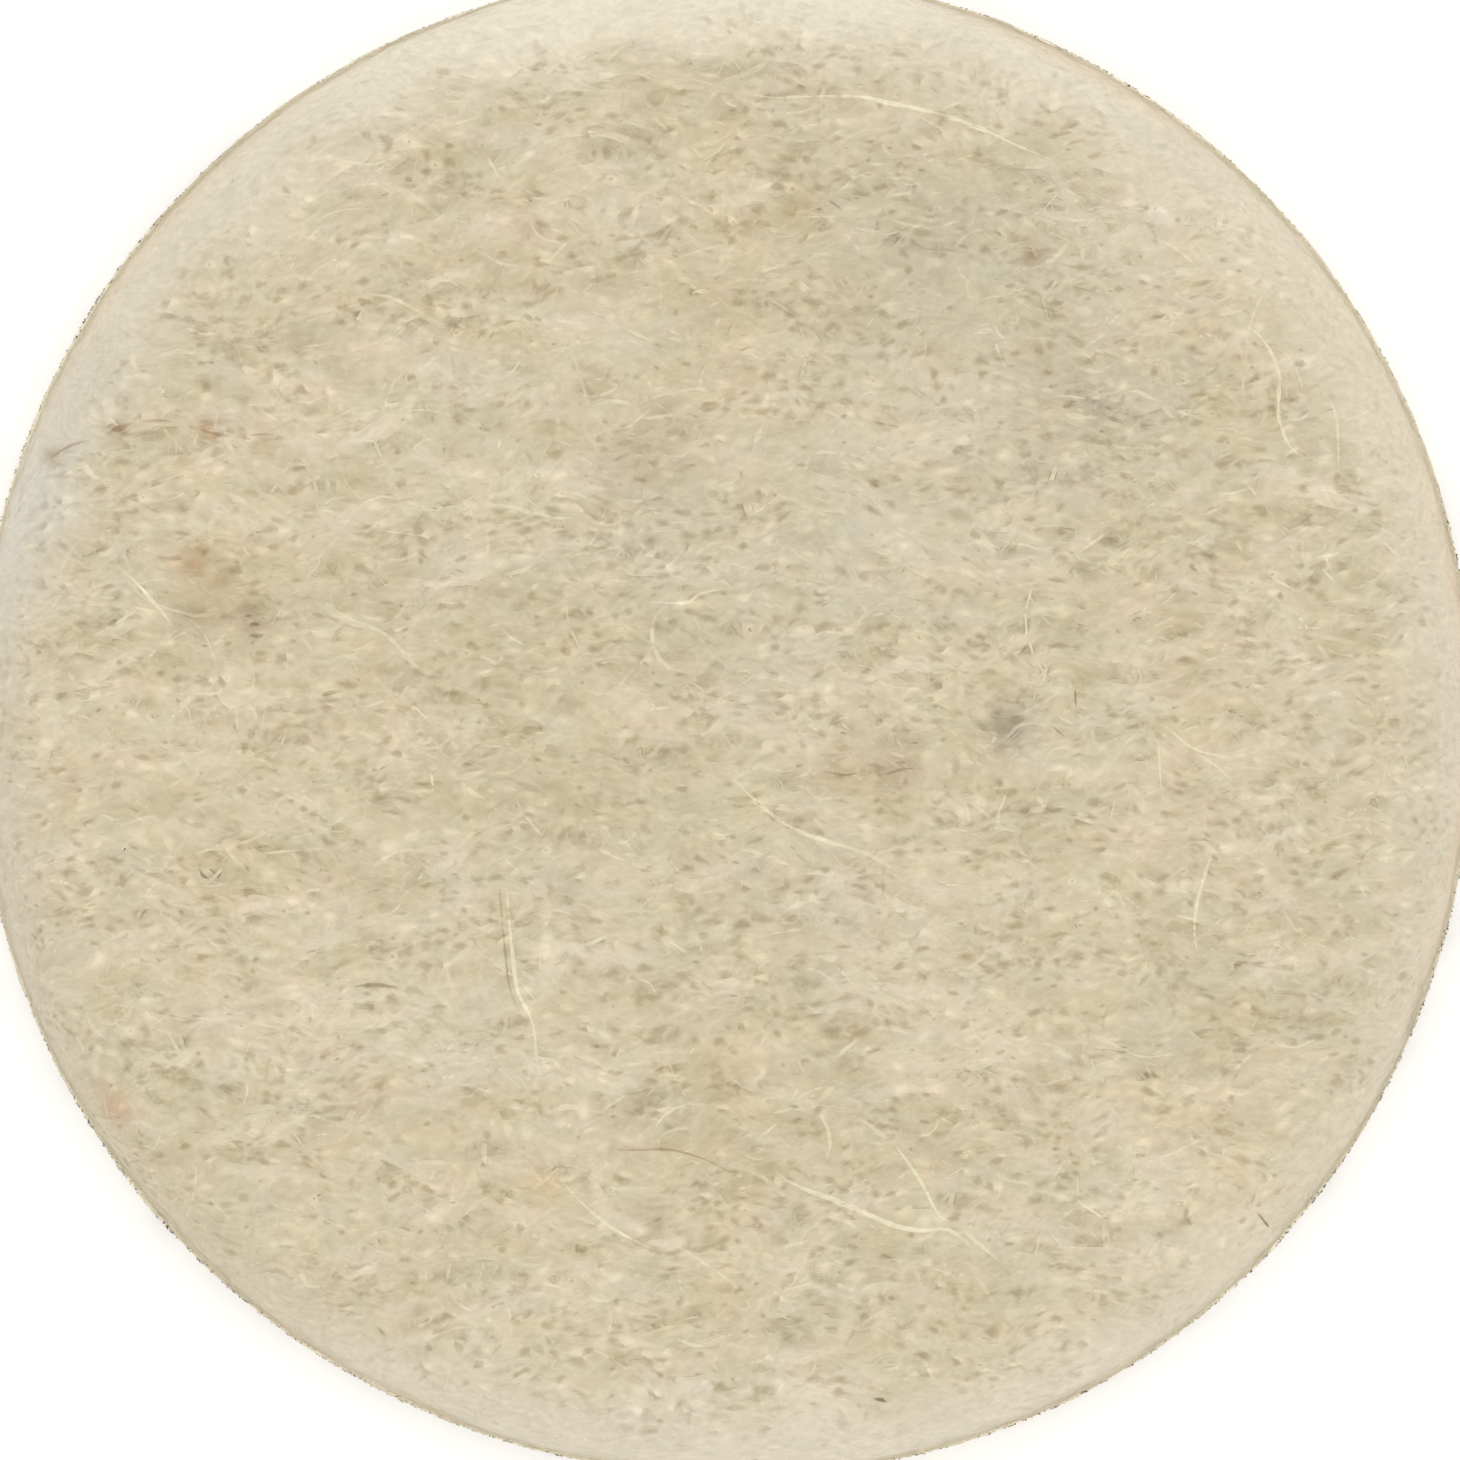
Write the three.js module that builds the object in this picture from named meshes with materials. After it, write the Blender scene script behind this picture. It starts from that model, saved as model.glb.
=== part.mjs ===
import * as THREE from "three";

// A round furniture pad, die-cut in one piece from a sheet of pressed wool felt.
// It lies flat on the XY plane with its soft glide face up.
// The origin is under the middle of the pad, and all lengths are in millimetres.

// Driving dimensions
const PAD_DIAMETER = 25;
const PAD_THICKNESS = 5;
const FOOT_HEIGHT = 0.25;
const FOOT_BEVEL = 0.12;
const WALL_LEAN = 0.16;
const SHOULDER_RISE = 0.9;
const SHOULDER_REACH = 1.1;

// Cut felt springs back unevenly, so the outline leaves a true circle in a few broad lobes.
// Each lobe wave has a count, a height at the rim and the direction of one crest in degrees.
const OUTLINE_LOBES = [
  { count: 2, height: 0.055, crest: 117 },
  { count: 3, height: 0.017, crest: 51 },
  { count: 4, height: 0.048, crest: 40 },
];

// Fineness of the facets
const RIM_STEPS = 144;
const SHOULDER_STEPS = 7;

// Undyed wool
const WOOL_COLOR = 0xd4c4a2;
const WOOL_ROUGHNESS = 0.95;

const padRadius = PAD_DIAMETER / 2;

// Half of the section, as distance from the axis and height, from the underside's middle to the
// top face's middle. The wall leans in from the foot, where the cutting edge left the felt last.
function sectionPoints() {
  const wallTopRadius = padRadius - WALL_LEAN;
  const wallTopHeight = PAD_THICKNESS - SHOULDER_RISE;
  const shoulderCentre = wallTopRadius - SHOULDER_REACH;
  const points = [
    new THREE.Vector2(0, 0),
    new THREE.Vector2(padRadius - FOOT_BEVEL, 0),
    new THREE.Vector2(padRadius, FOOT_HEIGHT),
  ];
  for (let step = 0; step <= SHOULDER_STEPS; step += 1) {
    const turn = (step / SHOULDER_STEPS) * (Math.PI / 2);
    const radius = shoulderCentre + SHOULDER_REACH * Math.cos(turn);
    const height = wallTopHeight + SHOULDER_RISE * Math.sin(turn);
    points.push(new THREE.Vector2(radius, height));
  }
  points.push(new THREE.Vector2(0, PAD_THICKNESS));
  return points;
}

// How far the outline stands out of its mean circle in the direction of an angle in radians.
function lobeHeight(angle) {
  return OUTLINE_LOBES.reduce((sum, lobe) => {
    const crest = THREE.MathUtils.degToRad(lobe.crest);
    return sum + lobe.height * Math.cos(lobe.count * (angle - crest));
  }, 0);
}

// Moves each vertex along its own radius, in full at the rim and not at all on the axis.
function applyLobes(geometry) {
  const position = geometry.attributes.position;
  for (let i = 0; i < position.count; i += 1) {
    const x = position.getX(i);
    const y = position.getY(i);
    const growth = 1 + lobeHeight(Math.atan2(y, x)) / padRadius;
    position.setX(i, x * growth);
    position.setY(i, y * growth);
  }
}

// Puts the middle of the outline's extent in X and Y on the axis.
function centreOutline(geometry) {
  geometry.computeBoundingBox();
  const middle = geometry.boundingBox.getCenter(new THREE.Vector3());
  geometry.translate(-middle.x, -middle.y, 0);
}

function padGeometry() {
  const geometry = new THREE.LatheGeometry(sectionPoints(), RIM_STEPS);
  geometry.rotateX(Math.PI / 2);
  applyLobes(geometry);
  centreOutline(geometry);
  geometry.computeVertexNormals();
  return geometry;
}

function woolFelt() {
  return new THREE.MeshStandardMaterial({
    color: WOOL_COLOR,
    roughness: WOOL_ROUGHNESS,
    metalness: 0,
  });
}

const feltPad = new THREE.Mesh(padGeometry(), woolFelt());
feltPad.name = "felt_pad";

const pad = new THREE.Group();
pad.add(feltPad);

export default pad;
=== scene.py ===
import math

import bpy
import numpy as np
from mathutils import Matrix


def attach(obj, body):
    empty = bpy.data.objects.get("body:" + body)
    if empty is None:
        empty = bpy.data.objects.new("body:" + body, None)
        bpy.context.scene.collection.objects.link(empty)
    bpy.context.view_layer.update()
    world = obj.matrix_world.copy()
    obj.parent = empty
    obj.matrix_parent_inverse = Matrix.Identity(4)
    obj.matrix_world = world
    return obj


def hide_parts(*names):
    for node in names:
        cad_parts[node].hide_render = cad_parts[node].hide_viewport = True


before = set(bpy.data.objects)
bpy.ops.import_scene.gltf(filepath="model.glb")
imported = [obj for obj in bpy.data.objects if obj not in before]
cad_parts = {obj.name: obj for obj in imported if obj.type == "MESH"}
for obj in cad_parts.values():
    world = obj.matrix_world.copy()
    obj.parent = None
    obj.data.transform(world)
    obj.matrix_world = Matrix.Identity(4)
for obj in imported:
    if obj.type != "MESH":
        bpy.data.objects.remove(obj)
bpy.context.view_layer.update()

MM = 0.001
SEED = 20

# The photograph's frame, and the pad's mean outline in it, in its own pixels
PHOTO_SIDE = 1460
PAD_MIDDLE = (724.8, 722.8)
PAD_RADIUS_PX = 753.5
PAD_RADIUS = 12.5
MM_PER_PX = PAD_RADIUS / PAD_RADIUS_PX
CAMERA_DISTANCE = 500


# Random numbers that depend only on where they are asked for. Odd numbers stir the bits of a
# place, and each result keeps 24 of them.
SEED_STIR, SEED_SHIFT = 374761393, 668265263
AXIS_STIR = (2654435761, 2246822519, 3266489917)
STIR = 1099511628211
KEPT_BITS = 0xFFFFFF


def scatter(cells, seed):
    """A number from 0 to 1 for each row of whole numbers."""
    mixed = np.full(len(cells), seed * SEED_STIR + SEED_SHIFT, np.uint64)
    for column, stir in zip(np.asarray(cells).T, AXIS_STIR):
        column = column.astype(np.int64).astype(np.uint64) * np.uint64(stir)
        mixed = (mixed ^ column) * np.uint64(STIR)
        mixed ^= mixed >> np.uint64(29)
    return ((mixed >> np.uint64(11)) & np.uint64(KEPT_BITS)).astype(float) / KEPT_BITS


def noise(places, size, seed):
    """Smooth noise from -1 to 1, bumps about size mm across along each axis, one field a seed."""
    p = np.asarray(places, float) / size
    low = np.floor(p)
    t = p - low
    t = t * t * t * (t * (t * 6 - 15) + 10)
    total = np.zeros(len(p))
    for corner in np.ndindex(*(2,) * p.shape[1]):
        weight = np.prod(np.where(corner, t, 1 - t), axis=1)
        total += weight * scatter(low + corner, seed)
    return total * 2 - 1


def ramp(value, low, high):
    """0 below low, 1 above high and smooth between."""
    t = np.clip((value - low) / (high - low), 0, 1)
    return t * t * (3 - 2 * t)


def varied(rng, count, usual, spread):
    """Sizes about a usual one, as often so many times larger as smaller."""
    return usual * np.exp(rng.normal(0, spread, count))


def arch(steps, power=1):
    """0 at the two ends of a fibre and 1 in its middle."""
    return np.sin(np.linspace(0, np.pi, steps)) ** power


def from_polar(radius, angle):
    return np.stack([radius * np.cos(angle), radius * np.sin(angle)], -1)


def to_polar(flat):
    return np.hypot(*flat.T), np.arctan2(flat[:, 1], flat[:, 0])


def unit(vectors):
    return vectors / np.maximum(np.linalg.norm(vectors, axis=-1), 1e-9)[..., None]


# The CAD pad's section and outline. Corners less than SAME_HEIGHT mm apart are on one level.
SAME_HEIGHT = 0.002
OFF_AXIS = 1
RIM_FROM = 0.985


def cad_corners():
    """The CAD pad's corners in mm, and their distances from the axis."""
    co = np.array([v.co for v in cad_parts["felt_pad"].data.vertices]) / MM
    return co, np.hypot(co[:, 0], co[:, 1])


def cad_rings():
    """The section's corners from the top's middle to the underside's, as (radius, height) in mm."""
    co, radius = cad_corners()
    heights = np.unique(co[:, 2].round(3))[::-1]
    levels = [(abs(co[:, 2] - h) < SAME_HEIGHT) & (radius > OFF_AXIS) for h in heights]
    rings = [(radius[level].mean(), h) for level, h in zip(levels, heights)]
    return np.array([(0, heights[0]), *rings, (0, heights[-1])])


def cad_outline():
    """How the rim's radius grows with direction, as sorted angles and shares of its mean."""
    co, radius = cad_corners()
    rim = radius > radius.max() * RIM_FROM
    rim &= abs(co[:, 2] - co[radius.argmax(), 2]) < SAME_HEIGHT
    angle = np.arctan2(co[rim, 1], co[rim, 0])
    order = np.argsort(angle)
    angle, share = angle[order], radius[rim][order] / radius[rim].mean()
    turn = 2 * np.pi
    return np.r_[angle[-1] - turn, angle, angle[0] + turn], np.r_[share[-1], share, share[0]]


RINGS = cad_rings()
ALONG = np.r_[0, np.cumsum(np.hypot(*np.diff(RINGS, axis=0).T))]
OUTLINE = cad_outline()
HALFWAY = (ALONG[1:] + ALONG[:-1]) / 2
SLOPE = np.diff(RINGS, axis=0) / np.diff(ALONG)[:, None]

FLAT_END = ALONG[1]
WALL_TOP = ALONG[-4]
FOOT = ALONG[-3]
UNDER_EDGE = ALONG[-2]
UNDER_MIDDLE = ALONG[-1]


def from_photo(points):
    """Places on the felt, flat in mm from the top's middle, from pixels of the photograph."""
    px = np.atleast_2d(np.array(points, float))
    aim = np.array([PHOTO_SIDE / 2, PHOTO_SIDE / 2])
    nearer = 1 - RINGS[0, 1] / CAMERA_DISTANCE
    px = aim + (px - aim) * nearer
    spot = np.stack([px[:, 0] - PAD_MIDDLE[0], PAD_MIDDLE[1] - px[:, 1]], 1) * MM_PER_PX
    radius, angle = to_polar(spot)
    along = np.interp(radius / np.interp(angle, *OUTLINE), RINGS[:-3, 0], ALONG[:-3])
    return from_polar(along, angle)


def on_surface(along, angle, lift):
    """Points in mm at a distance along the section and a direction, lifted off the surface."""
    radius = np.interp(along, ALONG, RINGS[:, 0])
    height = np.interp(along, ALONG, RINGS[:, 1])
    out = np.interp(along, HALFWAY, -SLOPE[:, 1])
    up = np.interp(along, HALFWAY, SLOPE[:, 0])
    length = np.hypot(out, up)
    radius = radius * np.interp(angle, *OUTLINE) + lift * out / length
    height = height + lift * up / length
    return np.c_[from_polar(radius, angle), height]


def facing_out(along, angle, lift):
    """Points on the surface, and the way out of it there."""
    points = on_surface(along, angle, lift)
    return points, on_surface(along, angle, lift + 1) - points


# How far the underside's felt is turned, so that it doesn't mirror the top's
UNDER_TURN = 2


def laid_flat(along, angle):
    """Places laid out flat in mm from the top's middle, and for the underside from its own."""
    below = along > UNDER_EDGE
    radius = np.where(below, UNDER_MIDDLE - along, along)
    return from_polar(radius, np.where(below, UNDER_TURN - angle, angle))


# Fibres' routes, laid out flat in mm


def wander(rng, count, steps, length, heading, start, curl, kink):
    """Paths of even steps on the flat, each with its own length, heading and gentle curl."""
    step = (length / (steps - 1))[:, None]
    bend = rng.normal(0, curl, count)[:, None] * step
    turns = np.cumsum(bend + rng.normal(0, kink, (count, steps)), axis=1)
    turns -= turns[:, steps // 2][:, None]
    way = heading[:, None] + turns
    moves = np.stack([np.cos(way), np.sin(way)], 2) * step[..., None]
    paths = np.cumsum(moves, axis=1)
    return paths - paths[:, steps // 2][:, None] + start[:, None]


def disc_starts(rng, count, reach):
    radius = reach * np.sqrt(rng.random(count))
    return from_polar(radius, rng.random(count) * 2 * np.pi)


DRIFT = 0.35
DRIFT_SIZE = 2.6


def headings(rng, places, spread, loose):
    """Directions mostly along X, which drift over the face, and a loose share that lies anyhow."""
    count = len(places)
    aligned = rng.normal(0, spread, count) + DRIFT * noise(places, DRIFT_SIZE, 51)
    return np.where(rng.random(count) < loose, rng.random(count) * np.pi, aligned)


# The pile: soft locks of wool laid over each other, as a map of height and brightness

PILE_CELL = 0.05
PILE_REACH = 14
PILE_CELLS = int(2 * PILE_REACH / PILE_CELL)
LOCKS = 15000
LOCK_STEPS = 34
LOCK_LANES = 7
LOCK_REACH = 13.6
LOCK_LENGTH, LOCK_LENGTH_SPREAD = 1.3, 0.4
LOCK_LIE = (0.32, 0.2)
LOCK_CURL, LOCK_KINK = 0.7, 0.03
LOCK_BOW, LOCK_CROWN = 1.6, 0.8
HEIGHT_RANGE = (-3, 2.5)


def soften(flat_map):
    """A square map with each cell spread over its neighbours."""
    grid = flat_map.reshape(PILE_CELLS, PILE_CELLS)
    for axis in (0, 1):
        grid = (np.roll(grid, 1, axis) + 2 * grid + np.roll(grid, -1, axis)) / 4
    return grid


def lay_locks(rng):
    """The locks' places in mm, with how high and how bright each is there, in thin lanes."""
    start = disc_starts(rng, LOCKS, LOCK_REACH)
    length = varied(rng, LOCKS, LOCK_LENGTH, LOCK_LENGTH_SPREAD)
    heading = headings(rng, start, *LOCK_LIE)
    paths = wander(rng, LOCKS, LOCK_STEPS, length, heading, start, LOCK_CURL, LOCK_KINK)
    run = np.gradient(paths, axis=1)
    side = unit(np.stack([-run[..., 1], run[..., 0]], -1))
    half = 0.045 + 0.05 * rng.random(LOCKS)
    level = rng.normal(0, 1, LOCKS)
    shade = rng.normal(0, 1, LOCKS)
    lane = np.ones((LOCKS, LOCK_STEPS))
    bow = LOCK_BOW * arch(LOCK_STEPS, 0.7)
    places, heights, shades = [], [], []
    for across in np.linspace(-1, 1, LOCK_LANES):
        places.append(paths + side * (across * half)[:, None, None])
        heights.append((level[:, None] + bow + LOCK_CROWN * (1 - across**2)) * lane)
        shades.append(shade[:, None] * lane)
    return np.concatenate(places).reshape(-1, 2), np.ravel(heights), np.ravel(shades)


def lay_pile():
    """Maps of the pile's height in standard deviations and of its brightness."""
    places, heights, shades = lay_locks(np.random.default_rng(SEED))
    cell = np.floor(places / PILE_CELL).astype(int) + PILE_CELLS // 2
    cell = np.clip(cell, 0, PILE_CELLS - 1)
    order = np.argsort(heights, kind="stable")
    index = (cell[:, 0] * PILE_CELLS + cell[:, 1])[order]
    height = np.full(PILE_CELLS**2, heights.min())
    bright = np.zeros(PILE_CELLS**2)
    height[index] = heights[order]
    bright[index] = shades[order]
    height, bright = soften(height), soften(bright)
    middle = height[PILE_CELLS // 4 : -PILE_CELLS // 4, PILE_CELLS // 4 : -PILE_CELLS // 4]
    return np.clip((height - middle.mean()) / middle.std(), *HEIGHT_RANGE), bright


PILE_HEIGHT, PILE_BRIGHT = lay_pile()


def read_map(grid, places):
    """A map's value at places in mm, blended between its cells."""
    at = np.clip(places / PILE_CELL + PILE_CELLS // 2 - 0.5, 0, PILE_CELLS - 1.001)
    low = at.astype(int)
    t = at - low
    x, y = low.T
    top = grid[x, y] * (1 - t[:, 1]) + grid[x, y + 1] * t[:, 1]
    end = grid[x + 1, y] * (1 - t[:, 1]) + grid[x + 1, y + 1] * t[:, 1]
    return top * (1 - t[:, 0]) + end * t[:, 0]


# Pits between the matted fibres

PIT_SPACING = 0.42
PIT_RADIUS = 0.09
NAMED_PIT_DEPTH = 1.3

# Pits that stand out in the photograph, as x, y and size in its pixels
NAMED_PITS = {
    "ring left": (210, 872, 15), "ring middle": (687, 859, 13), "left": (246, 745, 9),
    "left middle": (332, 697, 9), "upper left": (218, 242, 8), "upper middle": (453, 176, 8),
    "brown speck": (1032, 256, 10), "grey patch": (1005, 728, 12), "blunt": (1100, 407, 9),
    "middle": (840, 733, 8), "middle right": (914, 743, 8), "centre": (883, 563, 8),
    "upper right": (1210, 285, 9), "right": (1408, 874, 10), "right low": (1346, 917, 9),
    "low left": (378, 1241, 9), "low": (427, 1206, 9), "lowest": (475, 1357, 9),
    "low middle": (847, 1065, 8),
}


def deeper(deepest, way, depth, gap, radius):
    """The deepest pit so far at each place, and the way out of it in mm."""
    closer = depth > deepest
    out = gap / np.maximum(np.hypot(*gap.T), 1e-6)[:, None]
    way = np.where(closer[:, None], out * np.reshape(radius, (-1, 1)), way)
    return np.where(closer, depth, deepest), way


def near_pits(places):
    """How deep each place lies in a pit, 1 at a full pit's middle, and the way out of it in mm."""
    cell = np.floor(places / PIT_SPACING)
    deepest, way = np.zeros(len(places)), np.zeros_like(places)
    for shift in np.ndindex(3, 3):
        at = cell + shift - 1
        jitter = np.stack([scatter(at, 1), scatter(at, 2)], 1)
        middle = (at + 0.1 + 0.8 * jitter) * PIT_SPACING
        strength = ramp(scatter(at, 7) + 0.35 * noise(middle, (3.0, 1.7), 3), 0.25, 1.1)
        radius = PIT_RADIUS * (0.6 + 0.7 * scatter(at, 4))
        stretch = 1 + 1.2 * scatter(at, 5) ** 2
        gap = places - middle
        turn = scatter(at, 6) - 0.5
        across = gap[:, 0] * np.cos(turn) + gap[:, 1] * np.sin(turn)
        rise = gap[:, 1] * np.cos(turn) - gap[:, 0] * np.sin(turn)
        depth = strength * np.exp(-((across / stretch) ** 2 + rise**2) / radius**2)
        deepest, way = deeper(deepest, way, depth, gap, radius)
    for x, y, size in NAMED_PITS.values():
        gap = places - from_photo((x, y))
        radius = size * MM_PER_PX
        depth = NAMED_PIT_DEPTH * np.exp(-(np.hypot(*gap.T) ** 2) / radius**2)
        deepest, way = deeper(deepest, way, depth, gap, radius)
    return deepest, way


def rim_share(along):
    """0 on the open face and 1 on the smooth pressed rim."""
    return ramp(along, FLAT_END - 0.25, FLAT_END + 0.55)


def broad_lift(base):
    """The felt's broad unevenness in mm."""
    return 0.026 * noise(base, 3.0, 41) + 0.016 * noise(base, 1.1, 42)


PILE_RELIEF = 0.021
PIT_DEPTH = 0.022
SINK = 0.02
FOOT_SINK = 0.003
UNDER_SINK = 0.013


def felt_lift(along, angle):
    """The relief of the felt's surface in mm."""
    base = on_surface(along, angle, 0)
    places = laid_flat(along, angle)
    calm = rim_share(along)
    pile = PILE_RELIEF * read_map(PILE_HEIGHT, places) * (1 - 0.6 * calm)
    wall = ramp(along, WALL_TOP - 0.2, WALL_TOP + 0.3)
    side = 0.014 * noise(base, (0.5, 0.5, 0.2), 43) + 0.01 * noise(base, (0.25, 0.25, 0.16), 44)
    depth, _ = near_pits(places)
    lift = broad_lift(base) + pile * (1 - wall) + side * wall
    lift = lift - PIT_DEPTH * depth * (1 - calm) - SINK - SINK * wall
    foot = ramp(along, FOOT - 0.3, FOOT - 0.1)
    under = ramp(along, FOOT + 0.02, FOOT + 0.2)
    return lift * (1 - foot) - FOOT_SINK * foot - under * (UNDER_SINK + np.abs(side) * 0.7)


# Colours as the photograph shows them under its even light


def wool(red, green, blue):
    """A linear colour from one read off the photograph, from 0 to 255."""
    c = np.array([red, green, blue]) / 255
    return np.where(c > 0.04045, ((c + 0.055) / 1.055) ** 2.4, c / 12.92)


# How much brighter the lights leave the felt than its own colour
LIGHTING = 1.3
FACE = wool(212.5, 199, 169.5)
TAN = wool(210, 193, 160)
GREENISH = wool(208, 200, 172)
CREAM = wool(241, 230, 202)
# The rim's colour, partly painted lighter than the face to make up for the weaker light on its
# slope
RIM = wool(219, 209, 186)
RIM_PEACH = wool(228, 206, 178)
# Painted shade, darker and browner, for the pits and hollows, partly the browner wool deeper down.
# It also tints the share of browner fibres.
DEEP = wool(183, 168, 137)
EDGE_BROWN = wool(100, 82, 52)
EDGE_TAN = wool(168, 144, 106)
# A white brighter than white, painted on the foot as light against its contact shade
FOOT_PAINTED_WHITE = 1.25 * wool(255, 248, 226)

# How the three channels follow the brightness: bright wool is creamier and dark wool browner
CREAMING = np.array([0.92, 1.0, 1.42])

# Stains and grey or brown areas: x, y and size in the photograph's pixels, tint and its share
PATCHES = [
    (194, 560, 17, (182, 152, 112), 0.75), (222, 574, 15, (172, 146, 108), 0.7),
    (252, 622, 18, (150, 128, 94), 0.75), (198, 612, 26, (172, 152, 116), 0.7),
    (50, 457, 10, (176, 150, 112), 0.6), (118, 430, 10, (156, 124, 86), 0.7),
    (160, 424, 13, (192, 166, 128), 0.5), (204, 428, 12, (184, 152, 114), 0.65),
    (262, 436, 13, (190, 162, 126), 0.5), (113, 1105, 22, (206, 172, 140), 0.65),
    (69, 789, 16, (208, 182, 152), 0.5), (1032, 254, 12, (160, 124, 92), 0.8),
    (799, 210, 22, (190, 166, 122), 0.5), (525, 225, 20, (204, 180, 150), 0.5),
    (545, 1190, 18, (212, 182, 136), 0.5), (1005, 725, 22, (150, 140, 118), 0.55),
    (1011, 752, 22, (184, 178, 158), 0.4), (1100, 407, 18, (150, 146, 126), 0.6),
    (1033, 360, 150, (200, 195, 170), 0.35), (860, 560, 130, (203, 197, 173), 0.3),
    (820, 210, 110, (196, 180, 148), 0.3), (660, 540, 55, (206, 205, 184), 0.3),
    (760, 697, 45, (206, 204, 184), 0.25), (895, 772, 24, (176, 152, 124), 0.5),
    (845, 775, 26, (190, 166, 136), 0.4), (367, 667, 22, (202, 180, 142), 0.4),
    (925, 250, 80, (190, 184, 160), 0.4), (1080, 410, 70, (188, 178, 155), 0.4),
    (640, 475, 50, (186, 171, 144), 0.4), (300, 600, 90, (204, 188, 158), 0.25),
]


def blended(color, other, share):
    """A colour with a share of another in it."""
    return color * (1 - share[:, None]) + other * share[:, None]


def face_color(places):
    """The felt's colour at places laid out flat from the top's middle."""
    broad = noise(places, (4.0, 2.2), 11)
    middling = noise(places, (3.6, 0.8), 12)
    small = noise(places, (0.9, 0.34), 13)
    hue = noise(places, 2.0, 14)
    bright = 0.036 * broad + 0.046 * middling + 0.036 * small
    color = np.repeat(FACE[None], len(places), 0)
    color += (TAN - FACE) * np.clip(hue, 0, 1)[:, None] * 0.35
    color += (GREENISH - FACE) * np.clip(-hue, 0, 1)[:, None] * 0.3
    red = 0.014 * noise(places, (1.4, 0.9), 16) + 0.03 * noise(places, (0.5, 0.32), 17)
    blue = 0.012 * noise(places, (1.2, 0.8), 18) + 0.034 * noise(places, (0.45, 0.3), 19)
    return color * (1 + bright[:, None] * CREAMING) * (1 + np.stack([red, 0 * red, blue], 1))


def patched(color, places, top):
    """The colour with the top face's own stains and grey or brown areas on it."""
    ragged = 1 + 0.4 * noise(places, (0.9, 0.34), 13) + 0.6 * noise(places, (0.4, 0.25), 15)
    for x, y, size, tint, share in PATCHES:
        gap = np.hypot(*(places - from_photo((x, y))).T)
        near = share * top * ragged * np.exp(-((gap / (size * MM_PER_PX)) ** 2))
        color = color + (wool(*tint) - color) * near[:, None]
    return color


# The cut wall's painted light, because less light falls on the upright wall than on the top; the
# painted shade in its hollows; and the painted light that whitens its foot against the contact
# shade there, with the heights that these fade over
WALL_PAINTED_LIGHT = 1.3
WALL_HOLLOW_SHADE = 0.2
FOOT_PAINTED_LIGHT, FOOT_PAINTED_LIGHT_FADE = 0.24, (0.1, 1.6)
FOOT_PAINTED_WHITE_SHARE, FOOT_PAINTED_WHITE_FADE = 0.5, (0.2, 0.7)


def wall_color(points):
    """The cut wall's colour, in faint layers level with the floor, with painted light on the wall
    and at its foot and painted shade in its hollows.
    """
    layers = noise(points, (1.6, 1.6, 0.24), 61)
    fine = noise(points, (0.55, 0.55, 0.13), 62)
    blots = noise(points, (1.1, 1.1, 0.6), 63)
    # Painted light, stronger towards the foot, against the contact shade near the floor
    foot_painted_light = FOOT_PAINTED_LIGHT * (1 - ramp(points[:, 2], *FOOT_PAINTED_LIGHT_FADE))
    bright = 1 + 0.04 * layers + 0.03 * fine + 0.03 * blots + foot_painted_light
    # Painted shade in the wall's hollows
    hollow_shade = WALL_HOLLOW_SHADE * ramp(-fine - 0.4 * layers, 0.25, 0.9)
    # The whole wall is painted lighter, because less light falls on it than on the top
    color = blended(WALL_PAINTED_LIGHT * FACE * bright[:, None], DEEP, hollow_shade)
    # Painted light: the foot blends towards a white brighter than white
    pale = FOOT_PAINTED_WHITE_SHARE * (1 - ramp(points[:, 2], *FOOT_PAINTED_WHITE_FADE))[:, None]
    return color + (FOOT_PAINTED_WHITE - color) * pale


# Arcs of the rim by middle and spread in degrees, with their tint and its share. Their brightness
# is partly painted light, lighter towards the top and darker at the lower left because of how the
# light falls, and partly the rim's own creamy and greyish tints
RIM_ARCS = [
    (92, 40, (242, 234, 211), 0.72), (30, 22, (230, 218, 190), 0.5),
    (286, 20, (236, 226, 202), 0.4), (325, 22, (222, 209, 181), 0.5),
    (245, 16, (222, 212, 190), 0.4), (222, 15, (210, 197, 168), 0.8),
    (163, 12, (214, 209, 194), 0.8), (190, 18, (205, 195, 172), 0.7),
]
# Painted light on the rim's outer slope, which gets less light
RIM_PAINTED_LIGHT = 0.15
PEACH_ARCS = [(142, 16), (60, 12), (350, 10), (12, 9)]
PEACH_SHARE = 0.6

# Arcs where the smooth rim is narrow, by middle and spread in degrees and by how much in mm
NARROW_ARCS = [(210, 36, 0.7), (330, 35, 0.45)]


def in_arc(degrees, middle, spread):
    """1 in the middle of an arc, fading round it."""
    gap = (degrees - middle + 180) % 360 - 180
    return np.exp(-((gap / spread) ** 2))


def narrowing(angle):
    """How many mm narrower the smooth rim is in each direction."""
    degrees = np.degrees(angle) % 360
    return sum(depth * in_arc(degrees, middle, spread) for middle, spread, depth in NARROW_ARCS)


def rim_color(angle, places):
    """The smooth rim's colour by direction: creamy, greyish, and peach at its outer edge, with
    painted light towards the top and on its outer slope.
    """
    degrees = np.degrees(angle) % 360
    color = np.repeat(RIM[None], len(places), 0)
    for middle, spread, tint, share in RIM_ARCS:
        color += (wool(*tint) - color) * (share * in_arc(degrees, middle, spread))[:, None]
    along = np.hypot(*places.T)
    outer = PEACH_SHARE * ramp(along, WALL_TOP - 0.75, WALL_TOP - 0.2)
    for middle, spread in PEACH_ARCS:
        color += (RIM_PEACH - color) * (outer * in_arc(degrees, middle, spread))[:, None]
    past = ramp(along, WALL_TOP + 0.3, WALL_TOP + 1.3)
    # Painted light on the outer slope
    rim_painted_light = RIM_PAINTED_LIGHT * (ramp(along, WALL_TOP - 1.1, WALL_TOP - 0.1) * (1 - 0.7 * past))
    return color * (1 + 0.025 * noise(places, 1.2, 21) + rim_painted_light)[:, None]


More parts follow.
